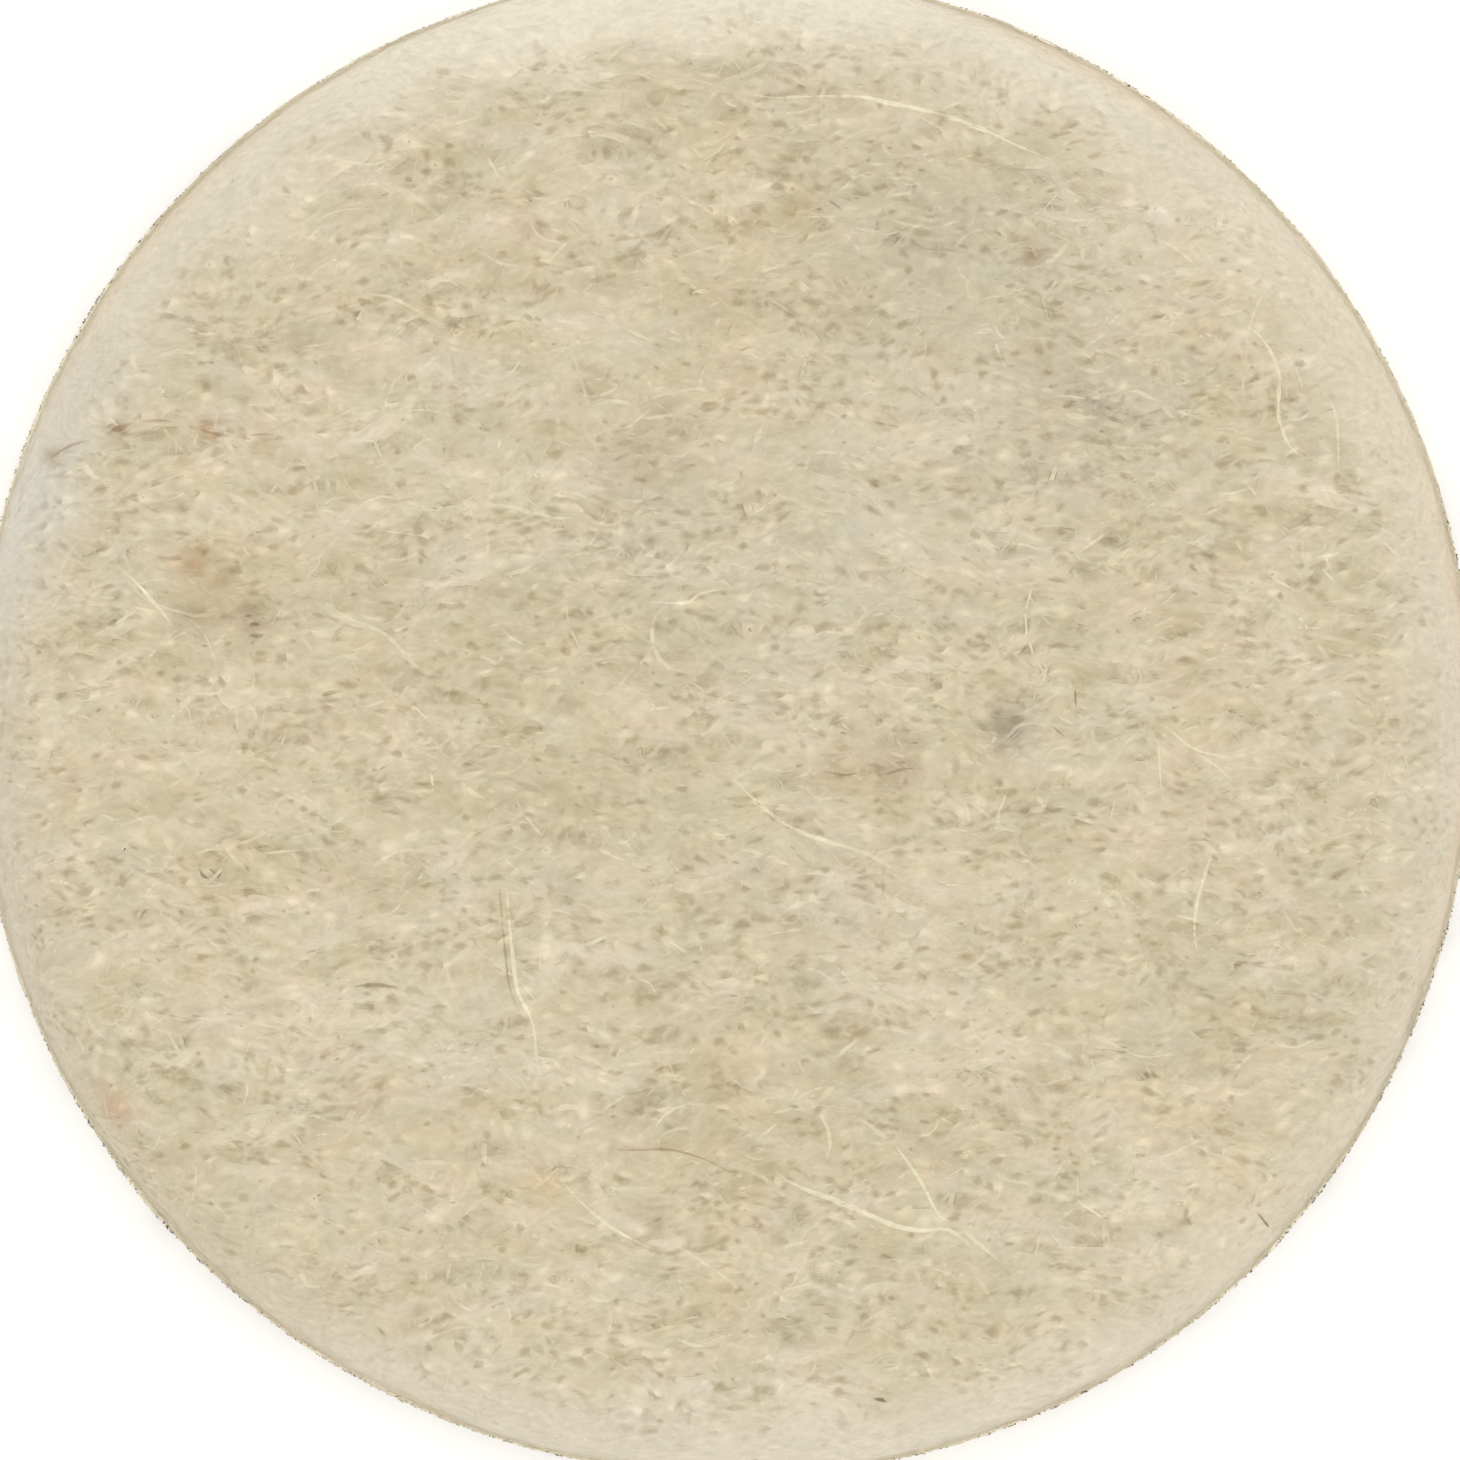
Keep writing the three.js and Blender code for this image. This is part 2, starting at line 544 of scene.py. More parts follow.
# Arcs of the cut edge where it is browned: from and to in degrees, and how much
BROWN_ARCS = [
    (7, 18, 0.6), (50, 72, 0.4), (129, 150, 0.55), (200, 216, 0.6),
    (214, 234, 1.0), (234, 258, 0.2), (284, 296, 0.4), (294, 330, 0.9),
    (328, 346, 1.0),
]
ARC_FADE = 2


def browned_arcs(angle):
    """How much of the cut edge is browned in each direction."""
    degrees = np.degrees(angle) % 360
    share = np.zeros(len(angle))
    for low, high, strength in BROWN_ARCS:
        begun = strength * ramp(degrees, low - ARC_FADE, low + ARC_FADE)
        ended = ramp(degrees, high - ARC_FADE, high + ARC_FADE)
        share = np.maximum(share, begun * (1 - ended))
    return share


BRIM_HEIGHT = 4.15


def edge_brown(angle, height, points):
    """How brown the foot is, in broken dashes darkest near the floor, and, faintly, the wall's top.
    """
    broken = ramp(noise(points, 0.24, 31) + 0.8 * noise(points, 1.3, 32), -0.35, 0.3)
    low_down = 0.34 * (1 - ramp(height, 0.3, 0.8)) + 0.08 * (1 - ramp(height, 3.0, 4.2))
    blotchy = ramp(noise(points, 0.8, 33), -0.4, 0.8)
    brim = 0.22 * np.exp(-(((height - BRIM_HEIGHT) / 0.25) ** 2)) * blotchy
    return browned_arcs(angle) * (broken * low_down + brim)


# The pile's tint at random, its painted light and shade by height, and the painted shade in its
# hollows and pits
PILE_TINT = 0.02
PILE_SHADE = 0.038
HOLLOW_FROM, HOLLOW_TO = 0.5, 2.0
HOLLOW_SHADE_SHARE = 0.3
PIT_SHADE_SHARE = 0.42


def felt_color(along, angle, points):
    """The colour of felt anywhere on the pad, with painted shade, darker and browner, in the pits
    and in the hollows between the locks, and the locks painted lighter the higher they lie.
    """
    places = laid_flat(along, angle)
    uneven = 0.3 * noise(points, 1.4, 22) + 0.16 * noise(points, 0.5, 23) - narrowing(angle)
    rim = ramp(along + uneven, FLAT_END - 0.8, FLAT_END + 0.85)
    pile = read_map(PILE_HEIGHT, places)
    # Painted light and shade: the higher locks lighter and the lower ones darker
    bright = PILE_TINT * read_map(PILE_BRIGHT, places) + PILE_SHADE * pile
    color = face_color(places) * (1 + bright[:, None] * CREAMING)
    # Painted shade, darker and browner, in the pits and in the hollows between the locks, partly
    # the browner wool deeper down
    depth, _ = near_pits(places)
    hollow_shade = ramp(-pile, HOLLOW_FROM, HOLLOW_TO) * (1 - 0.8 * rim)
    color = blended(color, DEEP, np.clip(PIT_SHADE_SHARE * depth + HOLLOW_SHADE_SHARE * hollow_shade, 0, 1))
    color = blended(color, rim_color(angle, places), rim * (along < UNDER_EDGE))
    color = patched(color, places, 1 - ramp(along, WALL_TOP, WALL_TOP + 0.3))
    wall = ramp(along + 0.25 * noise(points, 0.9, 25), WALL_TOP - 0.1, WALL_TOP + 0.8)
    color = blended(color, wall_color(points), wall * (1 - ramp(along, FOOT, UNDER_EDGE)))
    return blended(color, EDGE_BROWN, edge_brown(angle, points[:, 2], points)) / LIGHTING


# Meshes


def openness(points):
    """1 on the open face and less on the smooth rim and the pressed underside."""
    radius, angle = to_polar(points[:, :2])
    radius = radius / np.interp(angle, *OUTLINE)
    uneven = 0.25 * noise(points, 1.1, 24) - narrowing(angle)
    rim = ramp(radius + uneven, RINGS[1, 0] - 0.2, RINGS[1, 0] + 0.8)
    return 1 - rim * (0.3 + 0.5 * ramp(points[:, 2], 3.3, 4.0))


def placed(name, data):
    """A new object in the scene."""
    made = bpy.data.objects.new(name, data)
    bpy.context.scene.collection.objects.link(made)
    return made


def make_piece(name, points, quads, triangles, color, material, normals=None):
    """A smooth mesh object from points in mm, with its colours and openness as attributes."""
    mesh = bpy.data.meshes.new(name)
    mesh.vertices.add(len(points))
    mesh.vertices.foreach_set("co", (points * MM).astype(np.float32).ravel())
    corners = np.r_[quads.ravel(), triangles.ravel()].astype(np.int32)
    starts = np.r_[np.arange(len(quads)) * 4, len(quads) * 4 + np.arange(len(triangles)) * 3]
    mesh.loops.add(len(corners))
    mesh.loops.foreach_set("vertex_index", corners)
    mesh.polygons.add(len(starts))
    mesh.polygons.foreach_set("loop_start", starts.astype(np.int32))
    mesh.polygons.foreach_set("use_smooth", np.ones(len(starts), bool))
    mesh.update(calc_edges=True)
    mesh.validate()
    kept = mesh.attributes.new("wool", "FLOAT_COLOR", "POINT")
    kept.data.foreach_set("color", np.c_[color, np.ones(len(color))].astype(np.float32).ravel())
    kept = mesh.attributes.new("open", "FLOAT", "POINT")
    kept.data.foreach_set("value", openness(points).astype(np.float32))
    if normals is not None:
        mesh.normals_split_custom_set_from_vertices(normals.tolist())
    mesh.materials.append(material)
    piece = placed(name, mesh)
    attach(piece, "root")
    return piece


TOP_CELLS = 260
UNDER_CELLS = TOP_CELLS // 4
WALL_ROWS = 38
UNDER_ROWS = (0.2, 0.5)
UNDER_GAP = 0.9


def disc_places(cells):
    """A square grid of places from -1 to 1 drawn onto a round disc, evenly spread."""
    line = np.linspace(-1, 1, cells + 1)
    x, y = (a.ravel() for a in np.meshgrid(line, line, indexing="ij"))
    flat = np.abs(x) > np.abs(y)
    radius = np.where(flat, x, y)
    share = np.divide(np.where(flat, y, x), radius, out=np.zeros_like(x), where=radius != 0)
    return from_polar(radius, np.where(flat, share, 2 - share) * np.pi / 4)


def grid_index(cells):
    return np.arange((cells + 1) ** 2).reshape(cells + 1, cells + 1)


def grid_quads(cells):
    index = grid_index(cells)
    corners = [index[:-1, :-1], index[1:, :-1], index[1:, 1:], index[:-1, 1:]]
    return np.stack(corners, -1).reshape(-1, 4)


def grid_border(cells):
    """The grid's border vertices, counterclockwise from its +X, -Y corner."""
    index = grid_index(cells)
    return np.r_[index[-1, :-1], index[::-1, -1][:-1], index[0, ::-1][:-1], index[:-1, 0]]


def ring_quads(ring, inner):
    return np.stack([ring, inner, np.roll(inner, -1), np.roll(ring, -1)], 1)


def halved_ring(ring, inner):
    """Triangles from a ring of vertices to one with half as many."""
    a, b, c = ring[0::2], ring[1::2], np.roll(ring, -2)[0::2]
    after = np.roll(inner, -1)
    sets = (a, inner, b), (b, inner, after), (b, after, c)
    return np.concatenate([np.stack(corners, 1) for corners in sets])


def felt_body():
    """The pad's whole felt as one closed mesh, finest on top."""
    top, top_angle = to_polar(disc_places(TOP_CELLS) * WALL_TOP)
    last = grid_border(TOP_CELLS)
    turn = top_angle[last]
    along, angle = [top], [top_angle]
    quads, triangles = [grid_quads(TOP_CELLS)], []
    count = len(top)
    wall = np.linspace(WALL_TOP, FOOT, WALL_ROWS + 1)[1:]
    under = [UNDER_EDGE + gap for gap in UNDER_ROWS]
    rows = [*wall, (FOOT + UNDER_EDGE) / 2, UNDER_EDGE, *under]
    for row in rows:
        halved = row in (rows[0], rows[-2])
        turn = turn[::2] if halved else turn
        ring = count + np.arange(len(turn))
        along.append(np.full(len(ring), row))
        angle.append(turn)
        if halved:
            triangles.append(halved_ring(last, ring))
        else:
            quads.append(ring_quads(last, ring))
        last = ring
        count += len(ring)
    under, under_angle = to_polar(disc_places(UNDER_CELLS))
    along.append(UNDER_MIDDLE - under * (UNDER_MIDDLE - UNDER_EDGE - UNDER_GAP))
    angle.append(under_angle)
    quads.append(grid_quads(UNDER_CELLS)[:, ::-1] + count)
    quads.append(ring_quads(last, grid_border(UNDER_CELLS) + count))
    along, angle = np.concatenate(along), np.concatenate(angle)
    points = on_surface(along, angle, felt_lift(along, angle))
    points[:, 2] = np.maximum(points[:, 2], 0)
    color = felt_color(along, angle, points)
    skin = wool_material("felt_mat", roughness=0.95, relief=0.6)
    quads, triangles = np.concatenate(quads), np.concatenate(triangles)
    return make_piece("felt_body", points, quads, triangles, color, skin)


# Fibres are three-sided and shaded mostly as the felt they lie on
TUBE_SIDES = 3
SOFT_SHADING = 0.9
LOWEST = 0.001


def tube_faces(rings):
    """One fibre's quads and triangles, where its rings of vertices come before its two tips."""
    first, last = rings * TUBE_SIDES, rings * TUBE_SIDES + 1
    quads, triangles = [], []
    for k in range(TUBE_SIDES):
        after = (k + 1) % TUBE_SIDES
        for low in range(0, first - TUBE_SIDES, TUBE_SIDES):
            high = low + TUBE_SIDES
            quads.append([low + k, low + after, high + after, high + k])
        end = first - TUBE_SIDES
        triangles.append([first, after, k])
        triangles.append([last, end + k, end + after])
    return np.array(quads), np.array(triangles)


def with_tips(rings, ends):
    """Values at the vertices of each fibre's rings, and then at its tips."""
    return np.concatenate([rings, ends[:, :1], ends[:, -1:]], 1).reshape(-1, 3)


def tubes(name, points, width, thickness, normals, color, material):
    """Closed fibres with pointed ends along rows of points in mm, broad and flat or round."""
    paths, normals = points.reshape(color.shape), normals.reshape(color.shape)
    count, rings = len(paths), paths.shape[1] - 2
    run = unit(np.gradient(paths, axis=1))
    side = unit(np.cross(normals, run))
    up = np.cross(run, side)[:, 1:-1]
    side = side[:, 1:-1]
    shape = (count, rings * TUBE_SIDES, 3)
    turns = np.radians([90, 210, 330])
    broad, high = (v[:, None, None] / 2 for v in (width, thickness))
    rays = [broad * side * np.cos(t) + high * up * np.sin(t) for t in turns]
    corners = np.stack([paths[:, 1:-1] + ray for ray in rays], 2).reshape(shape)
    points = with_tips(corners, paths)
    points[:, 2] = np.maximum(points[:, 2], LOWEST)
    facing = np.stack([side * np.cos(t) + up * np.sin(t) for t in turns], 2).reshape(shape)
    felt_facing = np.repeat(normals[:, 1:-1], TUBE_SIDES, axis=1)
    facing = unit(with_tips(facing * (1 - SOFT_SHADING) + felt_facing * SOFT_SHADING, normals))
    colors = with_tips(np.repeat(color[:, 1:-1], TUBE_SIDES, axis=1), color)
    first = (np.arange(count) * (rings * TUBE_SIDES + 2))[:, None, None]
    quads, triangles = ((one + first).reshape(-1, one.shape[1]) for one in tube_faces(rings))
    return make_piece(name, points, quads, triangles, colors, material, facing)


TONE_SPREAD = 0.02
BROWNEST = (0.15, 0.5)


def toned(rng, color, points, pale, dark, most=0.6):
    """The fibres' colours with small differences, a share paler midway and a share browner."""
    count, steps = color.shape[:2]
    bow = arch(steps) * openness(points).reshape(count, steps)
    pick = rng.random(count)
    light = np.where(pick < pale, most * (0.3 + 0.7 * rng.random(count) ** 3), 0)
    deep = np.where(pick > 1 - dark, rng.uniform(*BROWNEST, count), 0)
    color = color * (1 + rng.normal(0, TONE_SPREAD, count))[:, None, None]
    color = color + (CREAM / LIGHTING - color) * (light[:, None] * bow)[..., None]
    return color + (DEEP / LIGHTING - color) * (deep[:, None] * bow)[..., None]


FIBRE_STEPS = 7
KINK = 0.06


def evened(lift):
    """The lift along each fibre, which spans the smallest hollows."""
    return 0.5 * lift + 0.25 * (np.roll(lift, 1, 1) + np.roll(lift, -1, 1))


def risen(rng, rise, thickness):
    """How far each fibre's steps stand off the felt, in mm: the middle highest, the ends sunk."""
    highest = rng.uniform(*rise, len(thickness))[:, None]
    return (highest + arch(FIBRE_STEPS, 0.5) - 1) * thickness[:, None]


def matted(name, material, rng, place, lift, widths, flatness, tones, tilt=0):
    """Fibres on the felt in its own colours there, with normals tilted up."""
    points, normals = facing_out(*place, lift.ravel())
    normals[:, 2] += tilt
    color = felt_color(*place, points).reshape(len(widths), FIBRE_STEPS, 3)
    color = toned(rng, color, points, *tones)
    return tubes(name, points, widths, widths * flatness, normals, color, material)


# Kinds of face fibre. They lie with a spread of headings and a share that lies anyhow, and rise in
# thicknesses. Their tones are the shares paler and browner, and how pale the palest is.
FACE_FIBRES = {
    "wool_locks": {
        "count": 5400, "seed": SEED + 1, "lie": (0.28, 0.12), "rise": (-0.3, 0.05),
        "width": 0.15, "flatness": 0.22, "length": 0.8, "tones": (0.0, 0.0, 0.0),
    },
    "wool_strands": {
        "count": 6000, "seed": SEED + 2, "lie": (0.42, 0.24), "rise": (-0.3, 0.1),
        "width": 0.1, "flatness": 0.2, "length": 0.7, "tones": (0.35, 0.1, 0.5),
    },
    "whiskers": {
        "count": 6000, "seed": SEED + 3, "lie": (0.5, 0.18), "rise": (-0.4, 0.2),
        "width": 0.06, "flatness": 0.34, "length": 0.75, "tones": (0.45, 0.0, 0.65),
    },
}
TOP_REACH = WALL_TOP - 0.1
FACE_CURL = 1.5
PARTING = 0.35


def face_fibres(name, material, count, seed, lie, rise, width, flatness, length, tones):
    """Fibres matted into the top face, mostly lying along X, that part round the pits."""
    rng = np.random.default_rng(seed)
    start = disc_starts(rng, count, TOP_REACH)
    lengths = varied(rng, count, length, 0.45)
    heading = headings(rng, start, *lie)
    paths = wander(rng, count, FIBRE_STEPS, lengths, heading, start, FACE_CURL, KINK)
    flat = paths.reshape(-1, 2)
    depth, way = near_pits(flat)
    open_face = 1 - rim_share(np.hypot(*flat.T))
    flat = flat + way * (PARTING * depth * open_face)[:, None]
    beyond = np.hypot(*flat.T)
    flat *= (np.minimum(beyond, TOP_REACH) / np.maximum(beyond, 1e-9))[:, None]
    place = to_polar(flat)
    widths = varied(rng, count, width, 0.25)
    lift = evened(felt_lift(*place).reshape(count, FIBRE_STEPS))
    lift = lift + risen(rng, rise, widths * flatness)
    return matted(name, material, rng, place, lift, widths, flatness, tones)


WALL_FIBRES = 4800
WALL_LIE = (0.16, 0.12)
WALL_FLATNESS = 0.5


def wall_fibres(name, material):
    """Fibres matted into the cut wall, mostly level with the floor as the felt's layers are."""
    rng, count = np.random.default_rng(SEED + 4), WALL_FIBRES
    girth = 2 * np.pi * PAD_RADIUS
    start = [rng.random(count) * girth, rng.uniform(WALL_TOP - 0.3, FOOT - 0.1, count)]
    lengths = varied(rng, count, 0.9, 0.35)
    spread, loose = WALL_LIE
    anyhow = rng.random(count) < loose
    heading = np.where(anyhow, rng.random(count) * np.pi, rng.normal(0, spread, count))
    start = np.stack(start, 1)
    flat = wander(rng, count, FIBRE_STEPS, lengths, heading, start, 0.6, KINK).reshape(-1, 2)
    angle = (flat[:, 0] / PAD_RADIUS + np.pi) % (2 * np.pi) - np.pi
    along = np.clip(flat[:, 1], WALL_TOP - 0.8, FOOT - 0.06)
    widths = varied(rng, count, 0.06, 0.35)
    lift = felt_lift(along, angle).reshape(count, FIBRE_STEPS)
    lift = lift + risen(rng, (-0.2, 0.3), widths * WALL_FLATNESS)
    tones = (0.3, 0.3)
    return matted(name, material, rng, (along, angle), lift, widths, WALL_FLATNESS, tones, 0.5)


EDGE_ENDS = 4500
EDGE_STEPS = 4
EDGE_DEPTH, EDGE_DEEPEST = 0.45, 2.5
EDGE_REACH = (0.012, 0.045)
EDGE_WIDTHS = (0.025, 0.045)
EDGE_TILT = 1.5


def edge_ends(name, material):
    """Short fibre ends that stand out of the cut wall near its foot, browned in places."""
    rng, count = np.random.default_rng(SEED + 6), EDGE_ENDS
    angle = (rng.random(count) - 0.5) * 2 * np.pi
    foot = on_surface(np.full(count, FOOT), angle, 0)
    above = np.minimum(rng.exponential(EDGE_DEPTH, count), EDGE_DEEPEST)
    browned = browned_arcs(angle) * ramp(noise(foot, 0.5, 34), -0.8, 0.15) * np.exp(-0.4 * above)
    brown = (rng.random(count) < browned)[:, None, None]
    gone = np.linspace(0, 1, EDGE_STEPS)
    reach = rng.uniform(*EDGE_REACH, count)[:, None] * gone
    aside = rng.normal(0, 0.05, count)[:, None] * gone / PAD_RADIUS
    climb = rng.normal(0, 0.06, count)[:, None] * gone
    turn = (angle[:, None] + aside).ravel()
    along = np.minimum((FOOT - above)[:, None] + climb, FOOT).ravel()
    points, normals = facing_out(along, turn, felt_lift(along, turn) - 0.01 + reach.ravel())
    normals[:, 2] += EDGE_TILT
    tone = rng.random(count)[:, None, None] ** 2 * np.ones((count, EDGE_STEPS, 1))
    pale = RIM * (0.9 + 0.16 * tone)
    color = np.where(brown, EDGE_BROWN + (EDGE_TAN - EDGE_BROWN) * tone, pale) / LIGHTING
    widths = rng.uniform(*EDGE_WIDTHS, count)
    return tubes(name, points, widths, widths * 0.7, normals, color, material)


UNDER_FIBRES = 2400
UNDER_LIE = (0.4, 0.25)
UNDER_REACH = RINGS[-2, 0]


def underside_fibres(name, material):
    """Fibres pressed flat into the underside, all above the floor."""
    rng, count = np.random.default_rng(SEED + 5), UNDER_FIBRES
    start = disc_starts(rng, count, UNDER_REACH - 0.7)
    lengths = varied(rng, count, 1.2, 0.35)
    heading = headings(rng, start, *UNDER_LIE)
    flat = wander(rng, count, FIBRE_STEPS, lengths, heading, start, 0.8, KINK).reshape(-1, 2)
    radius, angle = to_polar(flat)
    along = UNDER_MIDDLE - np.minimum(radius, UNDER_REACH - 0.3)
    widths = varied(rng, count, 0.1, 0.25)
    deepest = np.repeat(-widths * 0.1, FIBRE_STEPS)
    lift = np.minimum(felt_lift(along, angle) + 0.004, deepest)
    return matted(name, material, rng, (along, angle), lift, widths, 0.2, (0.2, 0.2))


# Hairs that stand out in the photograph: width, share of the tint and course, in its pixels

PALE_HAIRS = {
    "top arc": (5.5, 1.0, (726, 86), (767, 97), (815, 96), (856, 96), (895, 104), (933, 112),
        (980, 128), (1017, 145), (1043, 156), (1081, 172), (1107, 179)),
    "upper left hook": (4, 0.8, (316, 155), (367, 164), (389, 159), (403, 148)),
    "right wave": (5, 0.9, (1225, 319), (1250, 328), (1269, 348), (1279, 376), (1279, 415),
        (1288, 443), (1304, 456), (1317, 450)),
    "right wave spur": (3.5, 0.6, (1282, 348), (1298, 373), (1304, 395)),
    "right drop": (4.5, 0.8, (1317, 383), (1336, 415), (1339, 481)),
    "right branch": (3.5, 0.6, (1339, 424), (1381, 405)),
    "upper right drop": (4, 0.7, (1257, 191), (1261, 217), (1271, 246), (1274, 274)),
    "upper right slant": (4, 0.7, (1151, 236), (1177, 249), (1202, 271)),
    "upper right bend": (3.5, 0.6, (1180, 207), (1196, 220), (1237, 233)),
    "centre arc": (5, 0.8, (639, 601), (684, 603), (703, 593), (745, 585)),
    "centre left arc": (4, 0.6, (550, 557), (592, 552), (633, 544)),
    "centre sweep": (5.5, 0.8, (718, 757), (732, 777), (754, 799), (780, 821), (805, 834),
        (837, 844), (872, 856), (907, 879)),
    "centre sweep end": (3.5, 0.4, (914, 917), (955, 925), (998, 925)),
    "upright": (5, 0.9, (505, 870), (512, 950), (518, 992), (533, 1024), (537, 1065), (544, 1088)),
    "upright end": (4, 0.6, (537, 1104), (539, 1124)),
    "low left slant": (4.5, 0.8, (557, 1177), (585, 1206), (617, 1231), (659, 1253)),
    "bright sweep": (6.5, 1.0, (764, 1155), (786, 1180), (831, 1199), (863, 1212), (895, 1226),
        (923, 1231), (946, 1229), (965, 1241), (980, 1257)),
    "bright sweep back": (5, 0.9, (891, 1139), (920, 1180), (939, 1215), (958, 1225)),
    "bright sweep start": (4, 0.7, (756, 1142), (777, 1123)),
    "bright sweep end": (5, 0.7, (960, 1228), (980, 1245), (1005, 1266)),
    "right upright": (4.5, 0.8, (1220, 831), (1206, 872), (1196, 910), (1196, 945), (1206, 971)),
    "right fork": (4.5, 0.8, (1164, 725), (1193, 748), (1225, 757), (1247, 759)),
    "right fork low": (4, 0.7, (1193, 751), (1215, 765), (1234, 783)),
    "right fork down": (4, 0.7, (1158, 735), (1162, 792), (1170, 808)),
    "middle right vee": (4, 0.7, (1014, 777), (998, 821), (1021, 834)),
    "middle right vee left": (4, 0.6, (966, 799), (995, 821)),
    "middle hump": (4, 0.7, (960, 549), (979, 542), (1008, 552)),
    "middle right rise": (4, 0.7, (1075, 555), (1113, 528)),
    "right dash": (4, 0.7, (1261, 572), (1295, 590)),
    "right dash far": (4, 0.7, (1322, 568), (1335, 582)),
    "left slant": (4.5, 0.8, (112, 561), (140, 587), (166, 617), (175, 630)),
    "left bundle": (5, 0.5, (335, 614), (383, 633), (415, 665), (446, 684)),
    "left dash": (4.5, 0.7, (246, 855), (300, 850), (313, 850)),
    "left middle dash": (4, 0.6, (370, 529), (446, 539)),
    "far left dash": (5, 0.8, (57, 478), (85, 466)),
    "upper left dash": (4, 0.7, (364, 293), (392, 298), (427, 316)),
    "upper left drop": (4, 0.7, (485, 153), (500, 179)),
    "upper dash": (4, 0.7, (623, 328), (655, 343)),
    "upper dash left": (4, 0.6, (518, 198), (557, 199)),
    "upper dash right": (4, 0.6, (891, 220), (920, 228)),
    "low dash": (4, 0.6, (601, 1111), (627, 1094)),
    "low right swirl": (4.5, 0.7, (1088, 1030), (1139, 1056), (1183, 1052)),
    "lowest dash": (4, 0.6, (450, 1365), (443, 1400)),
    "left fleck": (6, 0.8, (22, 549), (29, 546), (38, 545)),
    "upper fleck": (6, 0.8, (690, 293), (700, 291), (712, 292)),
    "middle fleck": (5, 0.8, (710, 832), (722, 835), (735, 832)),
}

BROWN_HAIRS = {
    "low middle": (3, 0.5, (598, 1148), (630, 1150), (671, 1150), (703, 1159), (729, 1172),
        (748, 1186)),
    "streak start": (4.5, 0.45, (48, 459), (69, 446), (92, 439)),
    "streak knot": (5, 0.4, (106, 434), (118, 429), (132, 423)),
    "streak middle": (4, 0.35, (142, 421), (166, 421), (188, 424)),
    "streak second knot": (5, 0.45, (196, 427), (212, 433), (236, 437)),
    "streak end": (4, 0.35, (246, 437), (260, 434), (278, 435)),
    "streak speck": (7, 0.8, (112, 430), (118, 429), (126, 427)),
}

# Dark marks. The upright shade is a painted shadow beside the upright pale hair, and the ring long
# pit, middle speck and next speck are painted shade in pits, partly browner wool
DARK_HAIRS = {
    "low right": (4, 0.7, (1257, 1212), (1272, 1231)),
    "middle stroke": (4, 0.6, (1075, 688), (1076, 708)),
    "middle slant": (4, 0.6, (1052, 726), (1066, 738)),
    "ring long pit": (5, 0.5, (351, 987), (375, 985), (399, 988)),
    "low speck": (5, 0.9, (874, 1399), (880, 1400), (887, 1402)),
    "upright shade": (3, 0.35, (498, 872), (505, 950), (511, 992), (526, 1024)),
    "upper tip": (4, 0.5, (828, 200), (834, 204), (842, 210)),
    "cluster left": (4, 0.4, (822, 771), (846, 775), (868, 770)),
    "cluster right": (4, 0.4, (880, 776), (900, 770), (914, 768)),
    "knot upper": (4, 0.7, (245, 617), (249, 616), (253, 617)),
    "knot right": (4, 0.6, (259, 619), (263, 618), (267, 619)),
    "knot middle": (4, 0.7, (250, 625), (254, 624), (259, 625)),
    "knot low": (5, 0.6, (249, 635), (256, 636), (264, 635)),
    "knot top": (3, 0.4, (247, 531), (255, 532), (264, 531)),
    "middle speck": (4, 0.5, (840, 733), (843, 733), (846, 734)),
    "next speck": (4, 0.5, (912, 743), (915, 743), (918, 744)),
}
HAIR_STEPS = 30
HAIR_BROWN = wool(168, 136, 106)
HAIR_DARK = wool(142, 124, 96)
HAIR_PALE = wool(247, 238, 207)


def smooth_course(points, steps):
    """Evenly spaced places on a soft curve through a few points."""
    p = from_photo(points)
    ends = np.concatenate([[2 * p[0] - p[1]], p, [2 * p[-1] - p[-2]]])
    t = np.linspace(0, len(p) - 1, steps * 4)
    low = np.minimum(t.astype(int), len(p) - 2)
    u = (t - low)[:, None]
    a, b, c, d = (ends[low + k] for k in range(4))
    curve = b + 0.5 * u * (c - a + u * (2 * a - 5 * b + 4 * c - d + u * (3 * (b - c) + d - a)))
    gone = np.r_[0, np.cumsum(np.hypot(*np.diff(curve, axis=0).T))]
    even = np.linspace(0, gone[-1], steps)
    return np.stack([np.interp(even, gone, line) for line in curve.T], 1)


def long_hairs(name, material):
    """The hairs that stand out, lying on the face or half sunk in it."""
    rng = np.random.default_rng(SEED + 9)
    kinds = ((PALE_HAIRS, HAIR_PALE), (BROWN_HAIRS, HAIR_BROWN), (DARK_HAIRS, HAIR_DARK))
    hairs = [(hair, tint) for named, tint in kinds for hair in named.values()]
    count, steps = len(hairs), HAIR_STEPS
    flat = np.concatenate([smooth_course(hair[2:], steps) for hair, _ in hairs])
    along, angle = to_polar(flat)
    widths = np.array([hair[0] for hair, _ in hairs]) * MM_PER_PX
    bow = arch(steps, 0.4)
    dips = noise(flat, 0.5, 71).reshape(count, steps)
    rise = (0.15 + 0.25 * dips + (bow - 1)) * 0.8 * widths[:, None]
    lift = (evened(felt_lift(along, angle).reshape(count, steps)) + rise).ravel()
    points, normals = facing_out(along, angle, lift)
    color = felt_color(along, angle, points).reshape(count, steps, 3)
    share = np.array([hair[1] for hair, _ in hairs])[:, None, None] * bow[None, :, None]
    share = share * rng.uniform(0.85, 1.1, (count, steps, 1))
    tint = np.array([tint for _, tint in hairs])[:, None, :] / LIGHTING
    color = color + (tint - color) * np.clip(share, 0, 1)
    return tubes(name, points, widths, widths * 0.8, normals, color, material)


# Materials


def node(tree, kind, inputs=(), **settings):
    made = tree.nodes.new(kind)
    for key, value in settings.items():
        setattr(made, key, value)
    for key, value in dict(inputs).items():
        if isinstance(value, bpy.types.NodeSocket):
            tree.links.new(value, made.inputs[key])
        else:
            made.inputs[key].default_value = value
    return made


